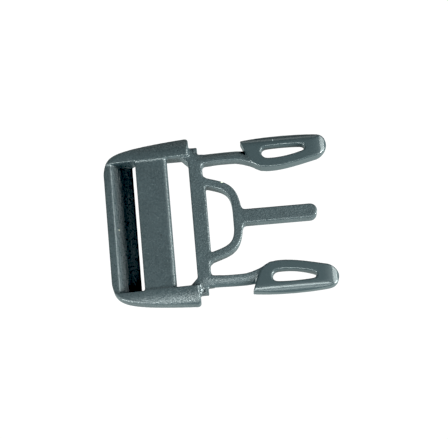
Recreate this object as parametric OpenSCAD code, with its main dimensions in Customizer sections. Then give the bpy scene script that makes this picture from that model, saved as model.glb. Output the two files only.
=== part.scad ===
// Plug half of a side release strap buckle, one moulding
// Measured from its rear edge along +X, resting on its underside at Z = 0

/* [Body] */
// Rear edge to the tips of the prongs
total_length = 69.1; // [68.6:0.1:69.6]
// Rear edge to the front faces of the side rails
body_length = 26.7; // [26.5:0.1:27.2]
// Across the side rails at their front faces
body_width = 52.3; // [51.9:0.1:52.7]
// Height of the side rails at their front faces
rail_front_height = 8.4; // [8:0.1:8.8]
// Height of the body at its rear edge
rail_rear_height = 5.2; // [5:0.1:5.6]
// Radius of the crown that slopes each rail down towards its outer side
crown_radius = 7.5; // [7:0.1:8.5]
// Radius that turns the crown into the outer side
shoulder_radius = 2.4; // [2.2:0.1:2.8]
// Rounding under the outer edge of the rails
underside_round = 2.3; // [1.6:0.1:2.5]
// Height of the plane half way up the prongs, the pin and the bracket
mid_height = 4.3; // [4.2:0.05:4.6]

/* [Strap slots] */
// Length of both strap slots, across the strap
slot_length = 40.6; // [40:0.1:41]
// Where the rear bar starts to fall towards the slit
ridge_start = 2.3; // [1.8:0.1:2.8]
// Foot of the rear bar, the rear side of the slit
toe_start = 8.95; // [8.6:0.05:9.2]
// Height of the foot of the rear bar
toe_height = 0.9; // [0.7:0.1:1.2]
// Width of the slit as seen from above
slit_width = 1; // [0.8:0.05:1.3]
// Clear height for the strap under the middle bar
mid_bar_underside = 2.2; // [1.8:0.1:2.4]
// Front edge of the middle bar
mid_bar_end = 19.75; // [19.2:0.05:20.2]
// Rounding of the front edges of the middle bar
mid_bar_round = 1.3; // [0.9:0.1:1.5]
// Rear edge of the front bar
front_bar_start = 26.2; // [26:0.05:26.4]
// Size of the bevelled corners of the front slot
slot_corner = 2.3; // [1.8:0.1:2.6]

/* [Front bar] */
// Front edge of the front bar inside the bracket
front_bar_end = 30.8; // [30.6:0.05:31.2]
// Thickness of the front bar
front_bar_height = 5.4; // [5.2:0.1:5.6]
// Radius of the hollow between a rail and the root of its prong
hollow_radius = 2.25; // [2:0.05:2.4]
// Thickness of the small stops in front of the rails
stop_height = 2.8; // [2.4:0.1:3.2]
// Reach of the small stops in front of the rails
stop_reach = 2.6; // [2.4:0.05:2.7]
// Distance of the outer face of the stops from the middle line
stop_outer = 23; // [22.8:0.1:23.2]

/* [Bracket and pin] */
// Thickness of the bracket that carries the pin
bracket_height = 5.7; // [5.5:0.1:5.8]
// Front face of the bracket
bracket_end = 41.4; // [41.2:0.1:41.8]
// Front side of the opening inside the bracket
opening_end = 38.55; // [38.2:0.05:38.8]
// Width of the guide pin
pin_width = 4.4; // [4:0.1:4.8]
// Thickness of the guide pin
pin_height = 5.8; // [5.5:0.1:6]
// Tip of the guide pin
pin_end = 64.3; // [62:0.1:66]
// Small fillet between the pin and the bracket
pin_fillet = 1; // [0.6:0.1:1.4]
// Small bevel along the edges of the pin
pin_bevel = 0.35; // [0.2:0.05:0.5]

/* [Prongs] */
// Thickness of the prong arms at their inner side
arm_height = 5.1; // [4.9:0.05:5.25]
// Thickness of the prong heads
head_height = 6.1; // [6.1:0.05:6.4]
// Radius that rounds the heads down to their outer side
head_round = 3; // [2.9:0.05:3]
// Where the flat of a head ends and its rounding starts
head_flat = 21.9; // [21.7:0.1:22.1]
// Rear corner of the barb
barb_start = 42.6; // [42.4:0.1:42.9]
// Width of the slot through each head
head_slot_width = 4.2; // [3.8:0.1:4.3]
// Rear end of the slot through each head
head_slot_start = 49.2; // [49:0.1:49.6]
// Front end of the slot through each head
head_slot_end = 62.6; // [62.2:0.1:62.8]

/* [Hidden] */
$fn = 64;
steps = 12;
fuse = 0.5;
half_width = body_width / 2;
half_slot = slot_length / 2;
crown_tilt = atan((rail_front_height - rail_rear_height) / body_length);
slit_end = toe_start + slit_width;
half_pin = pin_width / 2;

// Point at t on the curve with the four control points p
function curve_point(p, t) =
    pow(1 - t, 3) * p[0] + 3 * pow(1 - t, 2) * t * p[1] + 3 * (1 - t) * t * t * p[2] + pow(t, 3) * p[3];

// Points along the curve with the four control points p
function curve(p, n = steps) = [for (i = [0:n]) curve_point(p, i / n)];

// The same points in the other order
function back(points) = [for (i = [len(points) - 1:-1:0]) points[i]];

// Points on an arc round centre c from angle a to angle b
function arc(c, r, a, b, n = 8) =
    [for (i = [0:n]) let (q = a + (b - a) * i / n) [c[0] + r * cos(q), c[1] + r * sin(q)]];

// Outer edge of one rail, from the rear edge round the corner to the front
rail_edge = curve([[0, 17.2], [0.75, 23.9], [4.2, 24.3], [body_length + 0.3, half_width]], 24);
// Outer and inner edges of the bracket
bracket_outer = curve([[30.2, 13.3], [36.2, 11], [40.9, 11.7], [bracket_end, 1]], 20);
bracket_inner = curve([[30.95, 10.45], [36.9, 8.8], [38.35, 8.1], [opening_end, 2.8]], 16);
// Edges of the prong head, from the barb round the tip to the arm
head_outer = curve([[barb_start, 23.65], [50.4, 24.8], [58, 24.9], [65.27, 24.02]], 16);
tip_outer = curve([[65.27, 24.02], [67.1, 23.9], [total_length, 23.1], [total_length, 20.6]], 8);
tip_inner = curve([[total_length, 20.6], [total_length, 18.9], [66.9, 17.15], [65.3, 17]], 8);
head_inner = curve([[65.3, 17], [60, 15.8], [54.9, 14.45], [50.2, 14.75]], 14);
neck_inner = curve([[50.2, 14.75], [45.1, 15.4], [44.7, 18.05], [38.9, 17.95]], 14);

// Draws its children and their mirror image on the other prong's side
module both_sides() {
    children();
    mirror([0, 1, 0]) children();
}

// A flat outline given height about the middle plane
module about_middle(height) {
    translate([0, 0, mid_height - height / 2])
        linear_extrude(height = height) children();
}

// A side view outline drawn in X and Z, given width across the strap
module across_strap(width) {
    translate([0, width / 2, 0])
        rotate([90, 0, 0])
            linear_extrude(height = width) children();
}

// The body's outline from above, rails and rear bar in one
module body_outline() {
    mirrored = [for (p = back(rail_edge)) [p[0], -p[1]]];
    intersection() {
        polygon(concat(mirrored, rail_edge));
        translate([-1, -half_width - 1]) square([body_length + 1, body_width + 2]);
    }
}

// The crowned top, which rises towards the front
module crown() {
    turn = 30;
    start = half_width - shoulder_radius * (1 - sin(turn)) - crown_radius * sin(turn);
    drop = (crown_radius - shoulder_radius) * cos(turn) - crown_radius;
    side = concat(
        arc([start, -crown_radius], crown_radius, 90, 90 - turn, 7),
        arc([half_width - shoulder_radius, drop], shoulder_radius, 84 - turn, 0, 7)
    );
    translate([0, 0, rail_rear_height])
        rotate([0, -crown_tilt, 0])
            translate([-5, 0, 0])
                rotate([90, 0, 90])
                    linear_extrude(height = 45)
                        polygon(concat(
                            side,
                            [[half_width, -15], [-half_width, -15]],
                            [for (p = back(side)) [-p[0], p[1]]]
                        ));
}

// Flat underside with rounded outer edges
module underside() {
    half = half_width - underside_round;
    translate([-2, 0, 0])
        rotate([90, 0, 90])
            linear_extrude(height = body_length + 4)
                polygon(concat(
                    arc([-half, underside_round], underside_round + 0.02, 180, 270, 8),
                    arc([half, underside_round], underside_round + 0.02, 270, 360, 8),
                    [[half_width + 0.02, 12], [-half_width - 0.02, 12]]
                ));
}

// Everything the strap needs cut out behind the middle bar
module rear_channel() {
    slope = curve([
        [ridge_start, rail_rear_height + 0.25],
        [ridge_start + 2.1, rail_rear_height + 0.15],
        [toe_start - 3, toe_height + 2.2],
        [toe_start, toe_height]
    ], 14);
    across_strap(slot_length)
        polygon(concat(
            slope,
            [[toe_start, -1], [slit_end, -1], [slit_end, 12], [ridge_start, 12]]
        ));
}

// The opening between the middle bar and the front bar
module front_slot() {
    r = mid_bar_round;
    top = rail_rear_height + tan(crown_tilt) * (mid_bar_end - r);
    across_strap(slot_length)
        polygon(concat(
            [[mid_bar_end - r, 12]],
            arc([mid_bar_end - r, top - r], r, 90, 0, 6),
            arc([mid_bar_end - r, mid_bar_underside + r], r, 0, -90, 6),
            [[slit_end - 0.2, mid_bar_underside], [slit_end - 0.2, -1]],
            [[body_length + 1, -1], [body_length + 1, 12]]
        ));
}

// Rails, rear bar and middle bar
module frame_body() {
    difference() {
        intersection() {
            linear_extrude(height = 12) body_outline();
            crown();
            underside();
        }
        rear_channel();
        front_slot();
    }
}

// Front bar with its bevelled slot corners and the roots of the prongs
module front_bar() {
    c = [body_length + stop_reach, stop_outer];
    about_middle(front_bar_height)
        difference() {
            polygon(concat(
                [[front_bar_start, -half_slot + slot_corner], [front_bar_start, half_slot - slot_corner]],
                [[front_bar_start - slot_corner, half_slot], [front_bar_start - slot_corner, half_slot + fuse]],
                [[body_length - fuse, half_slot + fuse], [body_length - fuse, stop_outer - 0.1]],
                arc(c, hollow_radius, 180, 270, 8),
                [[31.2, 20.65], [31.2, -20.65]],
                back([for (p = arc(c, hollow_radius, 180, 270, 8)) [p[0], -p[1]]]),
                [[body_length - fuse, -stop_outer + 0.1], [body_length - fuse, -half_slot - fuse]],
                [[front_bar_start - slot_corner, -half_slot - fuse], [front_bar_start - slot_corner, -half_slot]]
            ));
            polygon(concat(
                [[front_bar_end, -10.45], [front_bar_end, 10.45], [34, 10.45], [34, -10.45]]
            ));
            both_sides_flat() gap_root();
        }
}

// The rounded rear end of the gap between a prong and the bracket
module gap_root() {
    polygon(concat(
        arc([31.45, 14.2], 1.05, 250, 180, 5),
        arc([31.45, 16.65], 1.05, 180, 90, 5),
        [[34, 17.8], [34, 12.2]]
    ));
}

// Mirror copy for flat outlines
module both_sides_flat() {
    children();
    mirror([0, 1]) children();
}

// Small stops that stand in front of the rails, below the prong roots
module stops() {
    both_sides()
        translate([body_length - fuse, 20, mid_height - stop_height / 2])
            cube([stop_reach + fuse, stop_outer - 20, stop_height]);
}

// The bowed bracket that carries the pin
module bracket() {
    mirrored_outer = [for (p = back(bracket_outer)) [p[0], -p[1]]];
    mirrored_inner = [for (p = bracket_inner) [p[0], -p[1]]];
    about_middle(bracket_height)
        polygon(concat(
            bracket_outer,
            mirrored_outer,
            [[30.2, -10.45]],
            mirrored_inner,
            back(bracket_inner),
            [[30.2, 10.45]]
        ));
}

// Guide pin with a round end, bevelled edges and small fillets at its root
module pin() {
    b = pin_bevel;
    h = pin_height / 2;
    translate([0, 0, mid_height])
        intersection() {
            translate([40, 0, 0])
                rotate([90, 0, 90])
                    linear_extrude(height = 30)
                        polygon([
                            [-half_pin, -h + b], [-half_pin + b, -h], [half_pin - b, -h], [half_pin, -h + b],
                            [half_pin, h - b], [half_pin - b, h], [-half_pin + b, h], [-half_pin, h - b]
                        ]);
            translate([0, 0, -h - 1])
                linear_extrude(height = pin_height + 2)
                    union() {
                        translate([40, -half_pin]) square([pin_end - half_pin - 40, pin_width]);
                        translate([pin_end - half_pin, 0]) circle(r = half_pin);
                    }
        }
    about_middle(bracket_height)
        both_sides_flat()
            polygon(concat(
                [[bracket_end - fuse, 0], [bracket_end + pin_fillet, 0]],
                back(arc([bracket_end + pin_fillet - 0.05, half_pin + pin_fillet], pin_fillet, 180, 270, 6)),
                [[bracket_end - fuse, half_pin + pin_fillet]]
            ));
}

// One prong's arm with a half round outer side, which follows its neck inwards under the head
module arm() {
    r = arm_height / 2;
    root = 20.95 - r;
    bend = 21.1 - r;
    intersection() {
        about_middle(arm_height + 2)
            polygon(concat(
                [[29.4, 22], [48, 22.5], [50.2, 16]],
                neck_inner,
                [[36, 17.95], [31, 17.6], [29.4, 17.6]]
            ));
        union() {
            translate([30, root, mid_height])
                rotate([0, 0, 1.7])
                    rotate([0, 90, 0])
                        cylinder(h = 16, r = r);
            translate([41.6, bend, mid_height])
                rotate([0, 0, -24])
                    rotate([0, 90, 0])
                        cylinder(h = 9, r = r);
            about_middle(arm_height - 0.06)
                polygon([[29.4, 16], [29.4, root - 0.1], [41.6, bend], [50, bend - 3.85], [50, 13], [40, 13]]);
        }
    }
}

// One prong's barbed head with its slot
module head() {
    h = head_height / 2;
    difference() {
        intersection() {
            about_middle(head_height)
                polygon(concat(
                    head_outer, tip_outer, tip_inner, head_inner,
                    [[48.4, 15], [46.6, 15.9], [45.2, 17.6], [43.7, 20.9]]
                ));
            union() {
                translate([40, 10, mid_height - h]) cube([30, head_flat - 10, head_height]);
                for (side = [-1, 1])
                    translate([40, head_flat, mid_height + side * (h - head_round)])
                        rotate([0, 90, 0])
                            cylinder(h = 30, r = head_round);
            }
            translate([0, 30, mid_height])
                rotate([90, 0, 0])
                    linear_extrude(height = 20)
                        polygon([
                            [40, -h], [62.2, -h], [66.4, -h + 0.45], [68.2, -h + 1.5], [total_length, -0.9],
                            [total_length, 0.9], [68.2, h - 1.5], [66.4, h - 0.45], [62.2, h], [40, h]
                        ]);
        }
        head_slot();
    }
}

// The slot through a head, which narrows towards the tip
module head_slot() {
    s = head_slot_start;
    e = head_slot_end;
    outer = 21.6;
    inner = outer - head_slot_width;
    translate([0, 0, -1])
        linear_extrude(height = 12)
            polygon(concat(
                arc([s + 0.9, inner + 1], 0.95, 250, 180, 5),
                arc([s + 0.7, outer - 0.75], 0.7, 180, 100, 5),
                [[s + 4.5, outer], [s + 7.5, outer]],
                arc([e - 1, outer - 1.15], 0.95, 80, -60, 8),
                [[s + 10.2, inner + 0.85], [s + 7.2, inner + 0.25], [s + 4.3, inner]]
            ));
}

// The whole moulding
module body() {
    color([0.29, 0.36, 0.37])
        translate([-total_length / 2, 0, 0])
            union() {
                frame_body();
                front_bar();
                stops();
                bracket();
                pin();
                both_sides() arm();
                both_sides() head();
            }
}

body();
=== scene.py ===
"""Plug half of a side release strap buckle: its moulding, finishes, stage, lights and camera.

The forms are modelled in millimetres, with X from the rear edge towards the prongs, Y across the
strap and Z up from the floor. The finished moulding is then brought to metres and to its place.
"""

import logging
import math
from collections.abc import Callable, Sequence
from dataclasses import dataclass, field
from enum import Enum

import bpy
from bpy.types import Material, Node, NodeSocket, NodeTree, Object
from mathutils import Matrix, Vector


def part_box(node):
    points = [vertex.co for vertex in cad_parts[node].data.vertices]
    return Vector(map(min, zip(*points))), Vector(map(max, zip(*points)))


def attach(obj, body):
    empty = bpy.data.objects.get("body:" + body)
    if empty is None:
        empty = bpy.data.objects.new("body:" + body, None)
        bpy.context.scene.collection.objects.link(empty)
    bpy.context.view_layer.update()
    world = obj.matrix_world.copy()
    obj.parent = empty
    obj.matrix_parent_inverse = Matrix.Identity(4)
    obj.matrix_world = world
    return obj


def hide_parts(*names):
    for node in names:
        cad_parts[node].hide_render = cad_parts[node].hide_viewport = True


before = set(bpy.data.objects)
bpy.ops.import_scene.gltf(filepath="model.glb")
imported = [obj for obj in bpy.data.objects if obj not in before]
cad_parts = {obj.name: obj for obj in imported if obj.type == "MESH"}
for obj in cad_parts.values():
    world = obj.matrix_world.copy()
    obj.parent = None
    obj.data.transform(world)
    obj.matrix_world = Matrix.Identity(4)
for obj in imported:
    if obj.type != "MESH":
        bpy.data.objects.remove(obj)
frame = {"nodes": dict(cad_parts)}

logging.basicConfig(level=logging.INFO, format="%(message)s")
log = logging.getLogger("buckle")

# One millimetre, in metres
MM = 0.001
# Height of the plane where the two halves of the mould met
MID = 4.3
# A height above all of the moulding, and one below it
ABOVE = 12
BELOW = -1
# How far a rounding tool stands off the faces that it leaves as they are
SPARE = 0.02
# How closely a face's normal points a way to count as facing it, from 0 to 1
FACING = 0.9
# Difference in height below which an edge counts as level
LEVEL = 0.01

Flat = tuple[float, float]
Point = tuple[float, float, float]
Colour = tuple[float, float, float]


# Outlines


@dataclass(frozen=True)
class Bend:
    """A cubic curve: its four control points, and how many stretches it is cut into."""

    points: tuple[Flat, ...]
    steps: int

    def trace(self) -> list[Flat]:
        """Works out the points along the curve.

        Returns:
            The points from the first end to the last, both ends included.
        """
        result: list[Flat] = []
        for i in range(self.steps + 1):
            t = i / self.steps
            u = 1 - t
            weights = (u ** 3, 3 * u * u * t, 3 * u * t * t, t ** 3)
            x = sum(w * p[0] for w, p in zip(weights, self.points))
            y = sum(w * p[1] for w, p in zip(weights, self.points))
            result.append((x, y))
        return result


def chain(bends: Sequence[Bend]) -> list[Flat]:
    """Joins curves that follow each other.

    Args:
        bends: The curves, each starting where the one before it ends.

    Returns:
        Their points, with each shared end given once.
    """
    result = bends[0].trace()
    for bend in bends[1:]:
        result += bend.trace()[1:]
    return result


def arc(centre: Flat, radius: float, start: float, end: float, steps: int = 8) -> list[Flat]:
    """Points on an arc.

    Args:
        centre: Centre of the arc.
        radius: Its radius.
        start: Angle of the first point, in degrees.
        end: Angle of the last point, in degrees.
        steps: How many stretches the arc is cut into.

    Returns:
        The points from start to end, both included.
    """
    angles = (math.radians(start + (end - start) * i / steps) for i in range(steps + 1))
    return [(centre[0] + radius * math.cos(a), centre[1] + radius * math.sin(a)) for a in angles]


def mirrored(points: Sequence[Flat]) -> list[Flat]:
    """The same points on the other side of the middle line, in the other order."""
    return [(x, -y) for x, y in reversed(points)]


# Modelling


class Join(Enum):
    """How a form and another one are combined."""

    UNITE = "UNION"
    CUT = "DIFFERENCE"
    SHARE = "INTERSECT"


def active() -> Object:
    """The object that the last operator made or worked on."""
    return bpy.context.view_layer.objects.active


def pick(obj: Object) -> None:
    """Selects only this object and makes it the active one.

    Args:
        obj: The object.
    """
    bpy.ops.object.select_all(action="DESELECT")
    obj.select_set(True)
    bpy.context.view_layer.objects.active = obj


def clear_selection(obj: Object) -> None:
    """Picks an object and deselects all of its mesh.

    Args:
        obj: The object.
    """
    pick(obj)
    mesh = obj.data
    for part in (*mesh.vertices, *mesh.edges, *mesh.polygons):
        part.select = False


def select_edges(obj: Object, wanted: Callable[[Vector, Vector], bool]) -> None:
    """Opens an object in edit mode with some of its edges selected.

    Args:
        obj: The object.
        wanted: Says of an edge's two ends whether the edge is selected.
    """
    clear_selection(obj)
    for edge in obj.data.edges:
        edge.select = wanted(*(obj.data.vertices[i].co for i in edge.vertices))
    bpy.context.tool_settings.mesh_select_mode = (False, True, False)
    bpy.ops.object.mode_set(mode="EDIT")


def select_faces(obj: Object, wanted: Callable[[Vector], bool]) -> None:
    """Opens an object in edit mode with some of its faces selected.

    Args:
        obj: The object.
        wanted: Says of a face's normal whether the face is selected.
    """
    clear_selection(obj)
    for face in obj.data.polygons:
        face.select = wanted(face.normal)
    bpy.context.tool_settings.mesh_select_mode = (False, False, True)
    bpy.ops.object.mode_set(mode="EDIT")


def select_all(obj: Object) -> None:
    """Opens an object in edit mode with everything selected.

    Args:
        obj: The object.
    """
    pick(obj)
    bpy.ops.object.mode_set(mode="EDIT")
    bpy.ops.mesh.select_all(action="SELECT")


def close_edit() -> None:
    """Turns all faces outwards and leaves edit mode."""
    bpy.ops.mesh.select_all(action="SELECT")
    bpy.ops.mesh.normals_make_consistent(inside=False)
    bpy.ops.object.mode_set(mode="OBJECT")
    bpy.context.tool_settings.mesh_select_mode = (True, False, False)


def draw(name: str, outline: Sequence[Point], sweep: Point) -> Object:
    """Draws an outline point by point, fills it and extrudes it into a solid.

    Args:
        name: Name of the new object.
        outline: Corners of the outline in order.
        sweep: How far and in which direction the outline is extruded.

    Returns:
        The new solid.
    """
    bpy.ops.object.select_all(action="DESELECT")
    bpy.ops.mesh.primitive_plane_add(size=1.0, location=outline[0])
    bpy.ops.object.transform_apply(location=True, rotation=True, scale=True)
    obj = active()
    obj.name = name
    bpy.ops.object.mode_set(mode="EDIT")
    bpy.ops.mesh.select_all(action="SELECT")
    bpy.ops.mesh.merge(type="CENTER")
    for before, after in zip(outline, outline[1:]):
        step = Vector(after) - Vector(before)
        bpy.ops.mesh.extrude_vertices_move(TRANSFORM_OT_translate={"value": step})
    bpy.ops.mesh.select_all(action="SELECT")
    bpy.ops.mesh.edge_face_add()
    bpy.ops.mesh.extrude_region_move(TRANSFORM_OT_translate={"value": sweep})
    close_edit()
    return obj


def plan(name: str, outline: Sequence[Flat], bottom: float, top: float) -> Object:
    """A solid from an outline seen from above, between two heights."""
    return draw(name, [(x, y, bottom) for x, y in outline], (0, 0, top - bottom))


def side(name: str, outline: Sequence[Flat], start: float, end: float) -> Object:
    """A solid from an outline in X and Z, from start to end across the strap."""
    return draw(name, [(x, start, z) for x, z in outline], (0, end - start, 0))


def section(name: str, outline: Sequence[Flat], start: float, end: float, rise: float = 0) -> Object:
    """A solid from an outline in Y and Z, from start to end along the buckle, with a rise."""
    return draw(name, [(start, y, z) for y, z in outline], (end - start, 0, rise))


def finish_with(obj: Object, kind: str, **settings: object) -> None:
    """Adds a modifier to an object and applies it.

    Args:
        obj: The object.
        kind: Type of the modifier.
        settings: The modifier's own settings.
    """
    pick(obj)
    modifier = obj.modifiers.new(kind.title(), kind)
    for key, value in settings.items():
        setattr(modifier, key, value)
    bpy.ops.object.modifier_apply(modifier=modifier.name)


def combine(obj: Object, join: Join, *others: Object) -> None:
    """Combines a form with others, one after the other, and deletes them.

    Args:
        obj: The form that is kept.
        join: How the forms are combined.
        others: The forms that are used up.
    """
    for other in others:
        finish_with(obj, "BOOLEAN", operation=join.value, solver="EXACT", object=other)
        mesh = other.data
        bpy.data.objects.remove(other)
        bpy.data.meshes.remove(mesh)


def unite(name: str, forms: Sequence[Object]) -> Object:
    """Unites overlapping forms into one closed form.

    Args:
        name: Name of the result.
        forms: The forms, which are used up.

    Returns:
        The one form.
    """
    obj, *others = forms
    combine(obj, Join.UNITE, *others)
    obj.name = name
    return obj


def repeat_across(obj: Object) -> None:
    """Adds a form's mirror image on the other side of the middle line.

    Args:
        obj: The form.
    """
    finish_with(obj, "MIRROR", use_axis=(False, True, False), use_mirror_merge=False)
    select_all(obj)
    close_edit()


# The parts of the moulding


@dataclass
class Frame:
    """The side rails with their crowned tops, the rear bar and the middle bar."""

    length: float = 26.7
    width: float = 52.3
    front_height: float = 8.4
    rear_height: float = 5.2
    rear_corner: tuple[Flat, ...] = ((0, 17.2), (0.75, 23.9), (4.2, 24.3))
    corner_overrun: float = 0.3
    crown_radius: float = 7.5
    shoulder_radius: float = 2.4
    crown_turn: float = 30
    shoulder_lead: float = 6
    crown_run: Flat = (-5, 40)
    underside_round: float = 2.3
    end_round: float = 1.25
    end_taper: float = 0.03
    end_drop: float = 0.05
    slot_length: float = 40.6
    ridge_start: float = 2.1
    slope_pulls: tuple[Flat, ...] = ((0.85, -0.4), (1.85, -3.2))
    toe_start: float = 8.95
    toe_height: float = 0.7
    slit_width: float = 1
    slit_overlap: float = 0.2
    end_draft: float = 5
    bar_underside: float = 2.2
    bar_end: float = 19.75
    bar_round: float = 1.3
    recess_depth: float = 0.3
    recess_ramp: float = 0.4
    recess_run: Flat = (-1, 25)
    recess_edge: Flat = (0.1, 0.05)
    recess_top: float = 14
    over: float = 1
    underside_over: float = 2

    @property
    def half(self) -> float:
        """Half of the width across the rails."""
        return self.width / 2

    @property
    def pitch(self) -> float:
        """How much the top rises for each millimetre towards the front."""
        return (self.front_height - self.rear_height) / self.length

    def outline(self) -> list[Flat]:
        """Draws the frame from above, round both rear corners.

        Returns:
            The corners of the outline.
        """
        r = self.end_round
        edge = Bend((*self.rear_corner, (self.length + self.corner_overrun, self.half)), steps=32).trace()
        edge = [p for p in edge if p[0] < self.length - r]
        edge += arc((self.length - r, self.half - self.end_taper - r), r, 90, 0, steps=5)
        return mirrored(edge) + edge

    def crown(self) -> Object:
        """Models the long crowned bar that gives the rails their tops.

        Returns:
            The bar, which rises towards the front.
        """
        turn = math.radians(self.crown_turn)
        start = self.half - self.shoulder_radius * (1 - math.sin(turn)) - self.crown_radius * math.sin(turn)
        drop = (self.crown_radius - self.shoulder_radius) * math.cos(turn) - self.crown_radius
        meet = 90 - self.crown_turn
        shoulder = (self.half - self.shoulder_radius, drop)
        flank = arc((start, -self.crown_radius), self.crown_radius, 90, meet, steps=10)
        flank += arc(shoulder, self.shoulder_radius, meet - self.shoulder_lead, 0, steps=10)
        base = -2 * self.crown_radius
        whole = flank + [(self.half, base), (-self.half, base)] + [(-y, z) for y, z in reversed(flank)]
        rear, front = self.crown_run
        lift = self.rear_height + rear * self.pitch
        return section("crown", [(y, z + lift) for y, z in whole], rear, front, (front - rear) * self.pitch)

    def underside(self) -> Object:
        """Models the bar that rounds the rails' lower edges.

        Returns:
            The bar, as wide as the rails and round below.
        """
        half, r = self.half - self.underside_round, self.underside_round
        whole = arc((-half, r), r + SPARE, 180, 270) + arc((half, r), r + SPARE, 270, 360)
        whole += [(self.half + SPARE, ABOVE), (-self.half - SPARE, ABOVE)]
        return section("underside", whole, -self.underside_over, self.length + self.underside_over)

    def end_rounding(self) -> Object:
        """Models the bar that rounds the upper edges of the rails' front faces.

        Returns:
            The bar, which runs across both rails.
        """
        r = self.end_round
        whole = arc((self.length - r, self.front_height - r - self.end_drop), r, 0, 90, steps=6)
        whole += [(-self.over, self.front_height + self.over), (-self.over, BELOW), (self.length, BELOW)]
        return side("end rounding", whole, -self.half - self.over, self.half + self.over)

    def rear_channel(self) -> Object:
        """Models the hollow that falls from the rear bar's ridge to the slit.

        Returns:
            The form to cut away, slit included, with leaning ends.
        """
        top, start, toe = self.rear_height, self.ridge_start, self.toe_start
        pulls = [(start + x, top + z) for x, z in self.slope_pulls]
        slope = Bend(((start, top), *pulls, (toe, self.toe_height)), steps=18).trace()
        end = toe + self.slit_width
        whole = slope + [(toe, BELOW), (end, BELOW), (end, ABOVE), (start, ABOVE)]
        channel = side("channel", whole, -self.slot_length / 2, self.slot_length / 2)
        for way in (-1, 1):
            select_faces(channel, lambda normal: normal.y * way > FACING)
            bpy.ops.transform.rotate(
                value=math.radians(self.end_draft) * way, orient_axis="X",
                center_override=(start, self.slot_length / 2 * way, top),
            )
            close_edit()
        return channel

    def recess(self) -> Object:
        """Models the shallow step, with sloping sides, that sets the bars below the rails.

        Returns:
            The form to cut away, which rises towards the front.
        """
        rear, front = self.recess_run
        past, lift = self.recess_edge
        inner, outer = self.slot_length / 2 - self.recess_ramp, self.slot_length / 2 + past
        low = self.rear_height + rear * self.pitch - self.recess_depth
        high = low + self.recess_depth + lift
        whole = [(-inner, low), (inner, low), (outer, high), (outer, self.recess_top)]
        whole += [(-outer, self.recess_top), (-outer, high)]
        return section("recess", whole, rear, front, (front - rear) * self.pitch)

    def front_slot(self) -> Object:
        """Models the opening in front of the middle bar, which also frees the bar's underside.

        Returns:
            The form to cut away.
        """
        r, low = self.bar_round, self.bar_underside
        centre = self.bar_end - r
        top = self.rear_height + self.pitch * centre - self.recess_depth
        rear = self.toe_start + self.slit_width - self.slit_overlap
        front = self.length + self.over
        whole = [(centre, ABOVE)] + arc((centre, top - r), r, 90, 0) + arc((centre, low + r), r, 0, -90)
        whole += [(rear, low), (rear, BELOW), (front, BELOW), (front, ABOVE)]
        return side("front slot", whole, -self.slot_length / 2, self.slot_length / 2)

    def build(self) -> list[Object]:
        """Models the frame.

        Returns:
            The one closed form of rails, rear bar and middle bar.
        """
        body = plan("frame", self.outline(), 0, ABOVE)
        combine(body, Join.SHARE, self.crown(), self.underside(), self.end_rounding())
        combine(body, Join.CUT, self.recess(), self.rear_channel(), self.front_slot())
        return [body]


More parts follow.
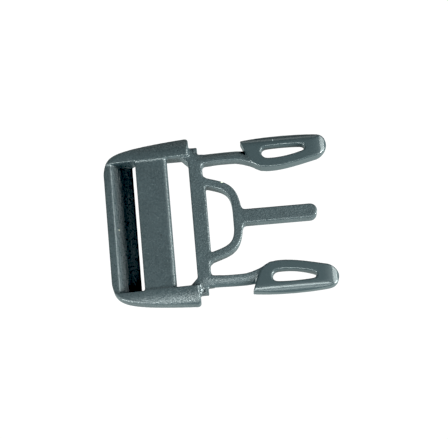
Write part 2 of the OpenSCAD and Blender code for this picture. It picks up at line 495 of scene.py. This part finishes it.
@dataclass
class FrontBar:
    """The front bar with its sloped corners, the gaps beside the bracket, and the stops."""

    start: float = 26.2
    end: float = 30.95
    rail_end: float = 26.7
    height: float = 5.6
    corner: float = 2.3
    half_slot: float = 20.3
    sunk: float = 0.5
    web: float = 0.8
    hollow_radius: float = 2.25
    hollow_turn: Flat = (203, 270)
    arm_corner: Flat = (31.2, 20.65)
    clear: float = 34
    opening_half: float = 10.45
    gap_rear: float = 31.45
    gap_sides: Flat = (14.2, 16.65)
    gap_round: float = 1.05
    gap_turn: float = 250
    gap_mouth: Flat = (17.8, 12.2)
    gap_middle: float = 15
    edge: float = 0.4
    edge_over: float = 1
    stop_reach: float = 2.6
    stop_inner: float = 20
    stop_outer: float = 23
    stop_height: float = 3.6
    rib: tuple[Flat, ...] = ((-1.35, 21.1), (-0.95, 21.1), (-0.85, 22.3), (-1.25, 22.3))
    rib_height: float = 0.12
    wedge_start: float = 0.03
    wedge_end: float = 33
    wedge_sides: Flat = (16.5, 24)
    wedge_bottom: float = 2
    slope_start: Flat = (26.5, 20)
    slope: Point = (0.17, 0.22, 1)

    def hollow(self) -> list[Flat]:
        """The round hollow between a rail and the root of its prong."""
        centre = (self.rail_end + self.stop_reach, self.stop_outer)
        return arc(centre, self.hollow_radius, *self.hollow_turn, steps=10)

    def bar(self) -> Object:
        """Models the bar with its bevelled slot corners, hollows and cleared gaps.

        Returns:
            The bar.
        """
        inside = self.start - self.corner
        root = self.rail_end - self.sunk
        half = [(self.start, self.half_slot - self.corner), (inside, self.half_slot)]
        half += [(inside, self.half_slot + self.sunk), (root, self.half_slot + self.sunk)]
        half += [(root, self.stop_outer - self.web)] + self.hollow() + [self.arm_corner]
        bar = plan("front bar", half + mirrored(half), MID - self.height / 2, MID + self.height / 2)
        wide = self.opening_half
        opening = [(self.end, -wide), (self.end, wide), (self.clear, wide), (self.clear, -wide)]
        self.cut_opening(bar, opening, (self.clear, 0))
        near, far = ((self.gap_rear, y) for y in self.gap_sides)
        gap = arc(near, self.gap_round, self.gap_turn, 180, steps=6)
        gap += arc(far, self.gap_round, 180, 90, steps=6)
        gap += [(self.clear, y) for y in self.gap_mouth]
        self.cut_opening(bar, gap, (self.clear, self.gap_middle))
        self.cut_opening(bar, mirrored(gap), (self.clear, -self.gap_middle))
        combine(bar, Join.CUT, self.wedges())
        return bar

    def cut_opening(self, bar: Object, outline: Sequence[Flat], middle: Flat) -> None:
        """Cuts an opening through the bar, with its upper edge bevelled.

        Args:
            bar: The bar.
            outline: The opening from above.
            middle: Where the opening's bevel widens from.
        """
        combine(bar, Join.CUT, plan("opening", outline, BELOW, ABOVE))
        top = MID + self.height / 2
        bevel = plan("bevel", outline, top - self.edge, top + self.edge_over)
        grow = self.edge + self.edge_over
        reach, wide = (1 + grow / max(abs(p[i] - middle[i]) for p in outline) for i in (0, 1))
        select_faces(bevel, lambda normal: normal.z > FACING)
        bpy.ops.transform.resize(value=(reach, wide, 1), center_override=(*middle, top + self.edge_over))
        close_edit()
        combine(bar, Join.CUT, bevel)

    def stop(self) -> Object:
        """Models the small stop in front of a rail, with a low rib on its face.

        Returns:
            The stop.
        """
        low, high = MID - self.stop_height / 2, MID + self.stop_height / 2
        start, reach = self.rail_end - self.sunk, self.rail_end + self.stop_reach
        inner, outer = self.stop_inner, self.stop_outer
        block = plan("stop", [(start, inner), (reach, inner), (reach, outer), (start, outer)], low, high)
        rib = plan("rib", [(reach + x, y) for x, y in self.rib], high - self.sunk, high + self.rib_height)
        return unite("stop", [block, rib])

    def wedges(self) -> Object:
        """Models the wedges that slope the bar's corners from the rails to the roots of the arms.

        Returns:
            The two forms to cut away.
        """
        near, far = self.rail_end + self.wedge_start, self.wedge_end
        inner, outer = self.wedge_sides
        outline = [(near, inner), (far, inner), (far, outer), (near, outer)]
        wedges = plan("wedges", outline, self.wedge_bottom, ABOVE)
        select_all(wedges)
        place = (*self.slope_start, MID + self.height / 2)
        bpy.ops.mesh.bisect(plane_co=place, plane_no=self.slope, use_fill=True, clear_inner=True)
        close_edit()
        repeat_across(wedges)
        return wedges

    def build(self) -> list[Object]:
        """Models the bar itself, without the forms that each side repeats."""
        return [self.bar()]

    def build_side(self) -> list[Object]:
        """Models the stop of one side."""
        return [self.stop()]


@dataclass
class Bracket:
    """The bowed bracket in front of the front bar, and the guide pin that it carries."""

    height: float = 5.6
    end: float = 41.4
    outer: tuple[Flat, ...] = ((30.2, 13.3), (36.2, 11), (40.9, 11.7))
    nose: float = 1
    inner: tuple[Flat, ...] = ((30.95, 10.45), (36.9, 8.8), (38.35, 8.1), (38.55, 2.8))
    pin_width: float = 4.4
    pin_height: float = 5.6
    pin_end: float = 64.3
    pin_root: float = 0.6
    pin_fillet: float = 1
    fillet_overlap: float = 0.05
    pin_bevel: float = 0.35
    bevel_start: float = 0.2

    def bow(self) -> Object:
        """Models the bow, open in the middle.

        Returns:
            The bow.
        """
        outer = Bend((*self.outer, (self.end, self.nose)), steps=24).trace()
        inner = Bend(self.inner, steps=20).trace()
        root, half = self.outer[0][0], self.inner[0][1]
        whole = outer + mirrored(outer) + [(root, -half)] + [(x, -y) for x, y in inner]
        whole += list(reversed(inner)) + [(root, half)]
        return plan("bracket", whole, MID - self.height / 2, MID + self.height / 2)

    def pin(self) -> Object:
        """Models the pin with its round end, root fillets and bevelled edges.

        Returns:
            The pin.
        """
        half, fillet = self.pin_width / 2, self.pin_fillet
        edge = [(self.end - self.pin_root, half + fillet)]
        edge += arc((self.end + fillet - self.fillet_overlap, half + fillet), fillet, 180, 270, steps=6)
        edge += arc((self.pin_end - half, 0), half, 90, 0, steps=10)
        whole = edge + mirrored(edge)[1:]
        pin = plan("pin", whole, MID - self.pin_height / 2, MID + self.pin_height / 2)
        rear = self.end - self.bevel_start
        select_edges(pin, lambda a, b: abs(a.z - b.z) < LEVEL and min(a.x, b.x) > rear)
        bpy.ops.mesh.bevel(offset=self.pin_bevel, segments=3, profile=0.5, clamp_overlap=True)
        close_edit()
        return pin

    def build(self) -> list[Object]:
        """Models the bow and the pin."""
        return [self.bow(), self.pin()]


@dataclass
class Prong:
    """One prong: a slim arm with a half round outer side, and a barbed head with its slot.

    The stations of the arm give a place along it and its inner and outer side. The slot's outline
    is its waist, half way down.
    """

    arm_height: float = 5.5
    first_slice: float = 0.2
    stations: tuple[Point, ...] = (
        (29.4, 17.6, 20.95),
        (31, 17.6, 20.98),
        (33.5, 17.8, 21.03),
        (36, 17.95, 21.1),
        (38.9, 17.95, 21.15),
        (41, 17.85, 21.15),
        (43, 17.4, 21),
        (45, 16.7, 20.4),
        (47, 15.8, 19.4),
        (48.6, 15.2, 18.6),
    )
    head_height: float = 6.1
    head_round: float = 3
    head_flat: float = 21.9
    head_over: float = 0.5
    round_gap: float = 0.3
    head_run: Flat = (40, 71)
    head_inside: float = 10
    head_sides: Flat = (8, 30)
    outline: tuple[Bend, ...] = (
        Bend(((42.6, 23.65), (50.4, 24.8), (58, 24.9), (65.27, 24.02)), steps=20),
        Bend(((65.27, 24.02), (67.1, 23.9), (69.1, 23.1), (69.1, 20.6)), steps=10),
        Bend(((69.1, 20.6), (69.1, 18.9), (66.9, 17.15), (65.3, 17)), steps=10),
        Bend(((65.3, 17), (60, 15.8), (54.9, 14.45), (50.2, 14.75)), steps=16),
    )
    neck: tuple[Flat, ...] = ((48.4, 15), (46.6, 15.9), (45.2, 17.6), (43.7, 20.9))
    tip_curve: tuple[Flat, ...] = ((63.2, 0), (65.6, 0), (66.4, 0.1), (67.1, 0.36))
    tip_facet: Flat = (68.5, 0.95)
    tip_half: float = 1
    waist: tuple[Bend, ...] = (
        Bend(((50.3, 20.8), (53, 21.05), (58, 21.05), (61, 20.78)), steps=10),
        Bend(((61, 20.78), (62.3, 20.6), (62.6, 19.5), (61.3, 19.1)), steps=8),
        Bend(((61.3, 19.1), (58.6, 18.4), (54.8, 17.7), (50.9, 17.87)), steps=10),
        Bend(((50.9, 17.87), (48.7, 17.95), (48.4, 20.6), (50.3, 20.8)), steps=8),
    )
    slot_middle: Flat = (55.7, 19.2)
    slot_depth: float = 4
    slot_flare_up: Flat = (1.06, 1.32)
    slot_flare_down: Flat = (1.14, 1.8)

    @property
    def tip(self) -> float:
        """Where the head ends."""
        return max(x for bend in self.outline for x, _ in bend.points)

    def arm(self) -> Object:
        """Models the arm, extruded from its root along its own bend.

        Returns:
            The arm.
        """
        r = self.arm_height / 2
        x, near, far = self.stations[0]
        here = x + self.first_slice
        round_side = arc((far - r, MID), r, -90, 90, steps=14)
        arm = section("arm", [(near, MID - r)] + round_side + [(near, MID + r)], x, here)
        select_faces(arm, lambda normal: normal.x > FACING)
        for x, inner, outer in self.stations[1:]:
            step = (x - here, inner - near, 0)
            widen = (outer - inner) / (far - near)
            bpy.ops.mesh.extrude_region_move(TRANSFORM_OT_translate={"value": step})
            bpy.ops.transform.resize(value=(1, widen, 1), center_override=(x, inner, MID))
            here, near, far = x, inner, outer
        close_edit()
        return arm

    def head_slot(self) -> Object:
        """Models the slot through the head, narrowest where the two halves of the mould met.

        Returns:
            The form to cut away.
        """
        slot = plan("head slot", chain(self.waist)[:-1], MID, MID + self.slot_depth)
        middle = (*self.slot_middle, MID)
        select_faces(slot, lambda normal: normal.z > FACING)
        bpy.ops.transform.resize(value=(*self.slot_flare_up, 1), center_override=middle)
        close_edit()
        select_faces(slot, lambda normal: normal.z < -FACING)
        bpy.ops.mesh.extrude_region_move(TRANSFORM_OT_translate={"value": (0, 0, -self.slot_depth)})
        bpy.ops.transform.resize(value=(*self.slot_flare_down, 1), center_override=middle)
        close_edit()
        return slot

    def flank(self) -> Object:
        """Models the long bar that rounds the head's outer side.

        Returns:
            The bar.
        """
        h, r = self.head_height / 2, self.head_round
        meet = math.degrees(math.asin((r - h) / r)) + self.round_gap
        round_side = arc((self.head_flat, MID - h + r), r, -90, -meet, steps=12)
        round_side += arc((self.head_flat, MID + h - r), r, meet, 90, steps=12)
        whole = [(self.head_inside, MID - h)] + round_side + [(self.head_inside, MID + h)]
        return section("flank", whole, *self.head_run)

    def taper(self) -> Object:
        """Models the bar that thins the head towards its tip.

        Returns:
            The bar, which runs across the head.
        """
        h = self.head_height / 2
        lower = [(self.head_run[0], -h)]
        lower += Bend(tuple((x, z - h) for x, z in self.tip_curve), steps=8).trace()
        facet, rise = self.tip_facet
        lower += [(facet, -h + rise), (self.tip + SPARE, -self.tip_half)]
        profile = lower + [(x, -z) for x, z in reversed(lower)]
        return side("tip", [(x, MID + z) for x, z in profile], *self.head_sides)

    def head(self) -> Object:
        """Models the head, rounded on its outer side and thinned towards its tip.

        Returns:
            The head, with its slot cut through.
        """
        reach = self.head_height / 2 + self.head_over
        head = plan("head", chain(self.outline) + list(self.neck), MID - reach, MID + reach)
        combine(head, Join.SHARE, self.flank(), self.taper())
        combine(head, Join.CUT, self.head_slot())
        return head

    def build_side(self) -> list[Object]:
        """Models the arm and head of one prong."""
        return [self.arm(), self.head()]


# Finishes


def add(tree: NodeTree, kind: str, inputs: dict[str | int, object] | None = None, **settings: object) -> Node:
    """Adds a node, sets it and links it.

    Args:
        tree: The node tree it goes into.
        kind: The node's type, without its first words.
        inputs: For each input, a value or the socket that feeds it.
        settings: The node's own settings.

    Returns:
        The new node.
    """
    node = tree.nodes.new(f"ShaderNode{kind}")
    for key, value in settings.items():
        setattr(node, key, value)
    for key, value in (inputs or {}).items():
        if isinstance(value, NodeSocket):
            tree.links.new(value, node.inputs[key])
        else:
            node.inputs[key].default_value = value
    return node


def math_node(tree: NodeTree, operation: str, *values: object) -> NodeSocket:
    """Adds a Math node and returns its result."""
    return add(tree, "Math", dict(enumerate(values)), operation=operation).outputs[0]


def blend(tree: NodeTree, share: NodeSocket, first: NodeSocket, second: Colour) -> NodeSocket:
    """Mixes a second colour into a first one by a share, and returns the result."""
    return add(tree, "Mix", {0: share, 6: first, 7: (*second, 1)}, data_type="RGBA").outputs[2]


def new_group(name: str, inputs: dict[str, str], outputs: dict[str, str]) -> tuple[NodeTree, Node, Node]:
    """Starts a node group.

    Args:
        name: Name of the group.
        inputs: The kind of each named input.
        outputs: The kind of each named output.

    Returns:
        The group, the node of its inputs and the node of its outputs.
    """
    tree = bpy.data.node_groups.new(name, "ShaderNodeTree")
    for way, sockets in (("INPUT", inputs), ("OUTPUT", outputs)):
        for label, kind in sockets.items():
            tree.interface.new_socket(name=label, in_out=way, socket_type=f"NodeSocket{kind}")
    return tree, tree.nodes.new("NodeGroupInput"), tree.nodes.new("NodeGroupOutput")


def spark_grain() -> NodeTree:
    """Makes the node group for the fine grain that an eroded mould leaves on plastic.

    Returns:
        The group. It puts out a height and a mask of the grain's peaks.
    """
    tree, given, result = new_group(
        "spark grain", {"Vector": "Vector", "Cells": "Float"}, {"Height": "Float", "Peaks": "Float"}
    )
    fine = add(tree, "TexNoise", {
        "Vector": given.outputs["Vector"], "Scale": given.outputs["Cells"], "Detail": 2.0, "Roughness": 0.6,
    })
    pits_per_cell = 0.45
    scale = math_node(tree, "MULTIPLY", given.outputs["Cells"], pits_per_cell)
    pits = add(tree, "TexVoronoi", {"Vector": given.outputs["Vector"], "Scale": scale, "Randomness": 1.0})
    low = add(tree, "MapRange", {
        "Value": pits.outputs["Distance"], "From Min": 0.0, "From Max": 0.8, "To Min": 0.0, "To Max": 0.6,
    })
    height = math_node(tree, "ADD", fine.outputs[0], low.outputs[0])
    peaks = add(tree, "MapRange", {"Value": fine.outputs[0], "From Min": 0.58, "From Max": 0.72})
    tree.links.new(height, result.inputs["Height"])
    tree.links.new(peaks.outputs[0], result.inputs["Peaks"])
    return tree


def mottle() -> NodeTree:
    """Makes the node group for the slight unevenness of the pigment.

    Returns:
        The group. It puts out the colour, a little lighter and darker from place to place.
    """
    tree, given, result = new_group(
        "mottle", {"Vector": "Vector", "Colour": "Color", "Amount": "Float"}, {"Colour": "Color"}
    )
    broad = add(tree, "TexNoise", {"Vector": given.outputs["Vector"], "Scale": 140.0, "Detail": 3.0})
    fine = add(tree, "TexNoise", {"Vector": given.outputs["Vector"], "Scale": 2200.0, "Detail": 1.0})
    both = math_node(tree, "ADD", broad.outputs[0], fine.outputs[0])
    swing = math_node(tree, "MULTIPLY", math_node(tree, "SUBTRACT", both, 1.0), given.outputs["Amount"])
    strength = 4.0
    gain = math_node(tree, "ADD", 1.0, math_node(tree, "MULTIPLY", swing, strength))
    scaled = add(tree, "VectorMath", {0: given.outputs["Colour"], "Scale": gain}, operation="SCALE")
    tree.links.new(scaled.outputs[0], result.inputs["Colour"])
    return tree


def mark() -> NodeTree:
    """Makes the node group for one small mark at a place on the moulding.

    Returns:
        The group. It puts out a mask, full at the place and gone at the given reach.
    """
    tree, given, result = new_group(
        "mark", {"Vector": "Vector", "Place": "Vector", "Reach": "Vector"}, {"Mask": "Float"}
    )
    vector, place = given.outputs["Vector"], given.outputs["Place"]
    away = add(tree, "VectorMath", {0: vector, 1: place}, operation="SUBTRACT")
    share = add(tree, "VectorMath", {0: away.outputs[0], 1: given.outputs["Reach"]}, operation="DIVIDE")
    size = add(tree, "VectorMath", {0: share.outputs[0]}, operation="LENGTH")
    fade = add(tree, "MapRange", {
        "Value": size.outputs["Value"], "From Min": 0.55, "From Max": 1.0, "To Min": 1.0, "To Max": 0.0,
    })
    tree.links.new(fade.outputs[0], result.inputs["Mask"])
    return tree


@dataclass(frozen=True)
class Mark:
    """A small mark: a place from the rear edge, its reach each way, both in millimetres, and a colour."""

    place: Point
    reach: Point
    colour: Colour


@dataclass(frozen=True)
class Plastic:
    """A finish of the moulded plastic.

    The grain's depth is in millimetres, and its cells are how many fit in a metre. The swing is how
    much the grain changes the roughness, over the given heights. The painted highlight share is how
    far the grain's peaks are lightened towards the painted highlight colour, painting the small
    highlights that the grain catches; the index is that of refraction.
    """

    name: str
    colour: Colour
    roughness: float
    swing: float
    grain: float
    mottle: float
    # How far the grain's peaks are lightened, painting the highlights that they catch
    painted_highlight_share: float
    marks: tuple[Mark, ...]
    cells: float = 3600
    # Colour of the highlights painted on the grain's peaks
    painted_highlight_colour: Colour = (0.8, 0.95, 0.95)
    heights: Flat = (0.3, 1.1)
    index: float = 1.5

    def material(self, groups: dict[str, NodeTree], rear: float) -> Material:
        """Builds the finish as a material.

        Args:
            groups: The shared node groups by name.
            rear: Where the rear edge lies along X, in metres.

        Returns:
            The material.
        """
        made = bpy.data.materials.new(self.name)
        made.use_nodes = True
        tree = made.node_tree
        tree.nodes.clear()
        place = add(tree, "TexCoord").outputs["Object"]
        grain = add(tree, "Group", {"Vector": place, "Cells": self.cells}, node_tree=groups["spark grain"])
        tint = add(tree, "Group", {
            "Vector": place, "Colour": (*self.colour, 1), "Amount": self.mottle,
        }, node_tree=groups["mottle"])
        # Painted highlights: the grain's peaks are lightened in colour to paint the light that they catch
        painted_highlight_mask = math_node(tree, "MULTIPLY", grain.outputs["Peaks"], self.painted_highlight_share)
        colour = blend(tree, painted_highlight_mask, tint.outputs["Colour"], self.painted_highlight_colour)
        for spot in self.marks:
            x, y, z = spot.place
            mask = add(tree, "Group", {
                "Vector": place,
                "Place": (rear + x * MM, y * MM, z * MM),
                "Reach": tuple(r * MM for r in spot.reach),
            }, node_tree=groups["mark"])
            colour = blend(tree, mask.outputs["Mask"], colour, spot.colour)
        height = grain.outputs["Height"]
        gloss = add(tree, "MapRange", {
            "Value": height, "From Min": self.heights[0], "From Max": self.heights[1],
            "To Min": self.roughness + self.swing, "To Max": self.roughness - self.swing,
        })
        bump = add(tree, "Bump", {"Strength": 1.0, "Distance": self.grain * MM, "Height": height})
        shader = add(tree, "BsdfPrincipled", {
            "Base Color": colour, "Roughness": gloss.outputs[0], "Normal": bump.outputs[0], "IOR": self.index,
        })
        output = add(tree, "OutputMaterial", {"Surface": shader.outputs[0]})
        output.is_active_output = True
        return made


class Finish(Enum):
    """The two finishes of the one plastic."""

    GRAINED = Plastic(
        "grained plastic", (0.0232, 0.0305, 0.033), roughness=0.38, swing=0.12,
        grain=0.075, mottle=0.1, painted_highlight_share=0.034,
        marks=(
            # A cream speck on the rear bar
            Mark((3.55, -0.35, 4.6), (0.3, 0.28, 1.5), (0.4, 0.37, 0.27)),
            # A small near-black spot and two light specks on the middle bar
            Mark((16.2, -3.7, 7), (0.3, 0.22, 0.8), (0.0005, 0.0008, 0.001)),
            Mark((15.7, 1.7, 7), (0.18, 0.18, 0.8), (0.08, 0.09, 0.09)),
            Mark((11.8, -9.1, 6.5), (0.18, 0.18, 0.8), (0.06, 0.07, 0.07)),
            # A pale flash on the bracket
            Mark((36.1, 11.1, 7.1), (0.5, 0.2, 0.5), (0.45, 0.46, 0.36)),
        ),
    )
    BURNISHED = Plastic(
        "burnished plastic", (0.021, 0.0285, 0.0308), roughness=0.29, swing=0.004,
        grain=0.0003, mottle=0.02, painted_highlight_share=0.0006,
        marks=(
            # A light scratch on a head
            Mark((52.7, 23, 6.8), (0.12, 0.45, 0.8), (0.3, 0.34, 0.34)),
        ),
    )


# The moulding


@dataclass
class Moulding:
    """The whole buckle half: its forms fused into one piece, softened and dressed."""

    frame: Frame = field(default_factory=Frame)
    front: FrontBar = field(default_factory=FrontBar)
    bracket: Bracket = field(default_factory=Bracket)
    prong: Prong = field(default_factory=Prong)
    voxel: float = 0.2
    smoothing: float = 0.5
    softening: int = 8
    hollow_softening: int = 30
    hollow_low: Point = (3.4, -19.8, 0.7)
    hollow_high: Point = (8.4, 19.8, 5)
    keep: float = 0.49
    head_inner: float = 14
    barb_line: tuple[Flat, ...] = ((42.4, 24.5), (43.6, 20.9), (45.1, 17.6), (46.5, 15.9), (48.4, 14.6))

    def forms(self) -> Object:
        """Models every form, those of one side mirrored to the other, and unites them.

        Returns:
            The one closed form of the whole moulding.
        """
        sides = unite("sides", self.front.build_side() + self.prong.build_side())
        repeat_across(sides)
        forms = self.frame.build() + self.front.build() + self.bracket.build() + [sides]
        for form in forms:
            log.info("form %s: %d faces", form.name, len(form.data.polygons))
        return unite("moulding", forms)

    def in_hollow(self, place: Vector) -> bool:
        """Whether a point lies in the rear hollow."""
        return all(low < x < high for low, x, high in zip(self.hollow_low, place, self.hollow_high))

    def fuse(self, obj: Object) -> None:
        """Fuses the forms into one skin and rounds its edges, the rear hollow more than the rest.

        Args:
            obj: The moulding.
        """
        finish_with(obj, "REMESH", mode="VOXEL", voxel_size=self.voxel, adaptivity=0.0)
        hollow = obj.vertex_groups.new(name="hollow")
        hollow.add([v.index for v in obj.data.vertices if self.in_hollow(v.co)], 1.0, "REPLACE")
        finish_with(
            obj, "SMOOTH", factor=self.smoothing, iterations=self.hollow_softening, vertex_group="hollow"
        )
        finish_with(obj, "SMOOTH", factor=self.smoothing, iterations=self.softening)
        finish_with(obj, "DECIMATE", ratio=self.keep)

    def place(self, obj: Object, rear: float) -> None:
        """Brings the millimetre model to metres and to its place on the frame.

        Args:
            obj: The moulding.
            rear: Where the rear edge lies along X, in metres.
        """
        pick(obj)
        obj.scale = (MM, MM, MM)
        obj.location = (rear, 0, 0)
        bpy.ops.object.transform_apply(location=True, rotation=True, scale=True)
        bpy.ops.object.shade_smooth()

    def is_head(self, x: float, y: float) -> bool:
        """Whether a point seen from above lies on a prong's head, in front of its barb.

        Args:
            x: Its place from the rear edge.
            y: Its distance from the middle line.

        Returns:
            True on a head.
        """
        if y < self.head_inner or x < self.barb_line[0][0]:
            return False
        for (xa, ya), (xb, yb) in zip(self.barb_line, self.barb_line[1:]):
            if yb <= y <= ya:
                return x > xa + (xb - xa) * (ya - y) / (ya - yb)
        return True

    def dress(self, obj: Object, rear: float) -> None:
        """Gives the body its grain and the heads their smoother finish.

        Args:
            obj: The moulding.
            rear: Where the rear edge lies along X, in metres.
        """
        groups = {"spark grain": spark_grain(), "mottle": mottle(), "mark": mark()}
        finishes = list(Finish)
        obj.data.materials.clear()
        for finish in finishes:
            obj.data.materials.append(finish.value.material(groups, rear))
        for face in obj.data.polygons:
            on_head = self.is_head((face.center.x - rear) / MM, abs(face.center.y) / MM)
            face.material_index = finishes.index(Finish.BURNISHED if on_head else Finish.GRAINED)

    def build(self) -> Object:
        """Builds the moulding on the frame.

        Returns:
            The finished piece.
        """
        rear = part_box("body")[0][0]
        obj = self.forms()
        self.fuse(obj)
        self.place(obj, rear)
        self.dress(obj, rear)
        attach(obj, "root")
        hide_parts("body")
        log.info("moulding: %d triangles", sum(len(f.vertices) - 2 for f in obj.data.polygons))
        return obj


# Stage, lights and camera


@dataclass(frozen=True)
class Lamp:
    """A square soft light: its direction in degrees, its side in metres and its power in watts."""

    name: str
    elevation: float
    azimuth: float
    size: float
    power: float

    @property
    def direction(self) -> Vector:
        """Unit vector from the buckle to the light."""
        high, round_ = math.radians(self.elevation), math.radians(self.azimuth)
        return Vector((math.cos(high) * math.cos(round_), math.cos(high) * math.sin(round_), math.sin(high)))


@dataclass
class Studio:
    """A glowing white floor, soft lights and the camera at the photograph's angle.

    Lengths are in metres, but the sensor's width is in millimetres. For each unit of height the
    camera stands off across the buckle by the tilt and along it by the lean. The roll is in degrees,
    the scale in pixels for each millimetre, and the centre and the image are in pixels.
    """

    focus: Point = (0.0, 0.0, 0.0037)
    distance: float = 0.7
    tilt: float = 0.24
    lean: float = -0.0078
    roll: float = 4.9421
    scale: float = 3.2633
    centre: Flat = (220.1896, 220.308)
    image: Flat = (448, 439)
    sensor: float = 36
    clip: Flat = (0.01, 20)
    reach: float = 0.9
    light_colour: Colour = (0.9, 1.0, 0.99)
    floor_colour: Colour = (0.84, 1.0, 0.99)
    black_level: Colour = (0.0415, 0.05, 0.05)
    floor_size: float = 6
    floor_drop: float = 0.0002
    floor_shown: float = 1.06
    floor_glow: float = 0.78
    room_glow: float = 0.7
    lamps: tuple[Lamp, ...] = (
        Lamp("left light", 25, 225, 0.3, 21.5),
        Lamp("right light", 20, 340, 0.2, 13),
        Lamp("low light", 10, 341, 0.2, 14.5),
        Lamp("end light", 25, 0, 0.3, 6.2),
        Lamp("edge light", 34, 16, 0.2, 3),
        Lamp("high light", 67, 0, 0.3, 1),
        Lamp("near light", 57, 270, 0.2, 4.3),
        Lamp("far light", 25, 90, 0.3, 0.8),
        Lamp("front light", 25, 275, 0.2, 1.4),
    )

    def floor(self) -> Object:
        """Adds the plain white floor, lit from below like a light table.

        Returns:
            The floor.
        """
        bpy.ops.object.select_all(action="DESELECT")
        bpy.ops.mesh.primitive_grid_add(
            x_subdivisions=4, y_subdivisions=4, size=self.floor_size, location=(0, 0, -self.floor_drop)
        )
        bpy.ops.object.transform_apply(location=True, rotation=True, scale=True)
        floor = active()
        floor.name = "floor"
        white = bpy.data.materials.new("white floor")
        white.use_nodes = True
        tree = white.node_tree
        tree.nodes.clear()
        seen = add(tree, "Emission", {"Color": (1, 1, 1, 1), "Strength": self.floor_shown})
        given = add(tree, "Emission", {"Color": (*self.floor_colour, 1), "Strength": self.floor_glow})
        straight = add(tree, "LightPath").outputs["Is Camera Ray"]
        either = add(tree, "MixShader", {0: straight, 1: given.outputs[0], 2: seen.outputs[0]})
        add(tree, "OutputMaterial", {"Surface": either.outputs[0]})
        floor.data.materials.append(white)
        return floor

    def light(self, lamp: Lamp) -> Object:
        """Adds a soft light that faces the buckle.

        Args:
            lamp: Which light.

        Returns:
            Its object.
        """
        data = bpy.data.lights.new(lamp.name, "AREA")
        data.shape, data.size = "SQUARE", lamp.size
        data.energy, data.color = lamp.power, self.light_colour
        made = bpy.data.objects.new(lamp.name, data)
        bpy.context.scene.collection.objects.link(made)
        made.location = Vector(self.focus) + lamp.direction * self.reach
        made.rotation_mode = "QUATERNION"
        made.rotation_quaternion = (-lamp.direction).to_track_quat("-Z", "Y")
        return made

    def camera(self) -> Object:
        """Sets the camera at the photograph's viewing angle and framing.

        Returns:
            The camera.
        """
        back = Vector((self.lean, -self.tilt, 1)).normalized()
        across = (Vector((1, 0, 0)) - back * back.x).normalized()
        up = back.cross(across)
        turn = math.radians(self.roll)
        right = across * math.cos(turn) - up * math.sin(turn)
        top = across * math.sin(turn) + up * math.cos(turn)
        wide, high = self.image
        data = bpy.data.cameras.new("camera")
        data.sensor_width = self.sensor
        data.lens = self.sensor * self.distance / MM * self.scale / wide
        data.shift_x = (wide / 2 - self.centre[0]) / wide
        data.shift_y = (self.centre[1] - high / 2) / wide
        data.clip_start, data.clip_end = self.clip
        cam = bpy.data.objects.new("camera", data)
        bpy.context.scene.collection.objects.link(cam)
        cam.rotation_mode = "QUATERNION"
        turned = [[right[i], top[i], back[i]] for i in range(3)]
        cam.rotation_quaternion = Matrix(turned).to_quaternion()
        cam.location = Vector(self.focus) + back * self.distance
        bpy.context.scene.camera = cam
        return cam

    def world(self) -> None:
        """Sets a pale room round the stage."""
        world = bpy.data.worlds.new("room")
        world.use_nodes = True
        shade = world.node_tree.nodes["Background"]
        shade.inputs["Color"].default_value = (*self.light_colour, 1)
        shade.inputs["Strength"].default_value = self.room_glow
        bpy.context.scene.world = world

    def build(self) -> None:
        """Sets up the stage, the lights and the camera."""
        scene = bpy.context.scene
        scene.view_settings.view_transform = "Standard"
        scene.view_settings.use_curve_mapping = True
        scene.view_settings.curve_mapping.black_level = self.black_level
        self.floor()
        self.world()
        for lamp in self.lamps:
            self.light(lamp)
        self.camera()
        log.info("studio: floor, %d lights and camera", len(self.lamps))


def main() -> None:
    """Builds the studio and the moulding."""
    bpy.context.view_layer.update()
    Studio().build()
    moulding = Moulding().build()
    log.info("piece %s", moulding.name)


if __name__ == "__main__":
    main()
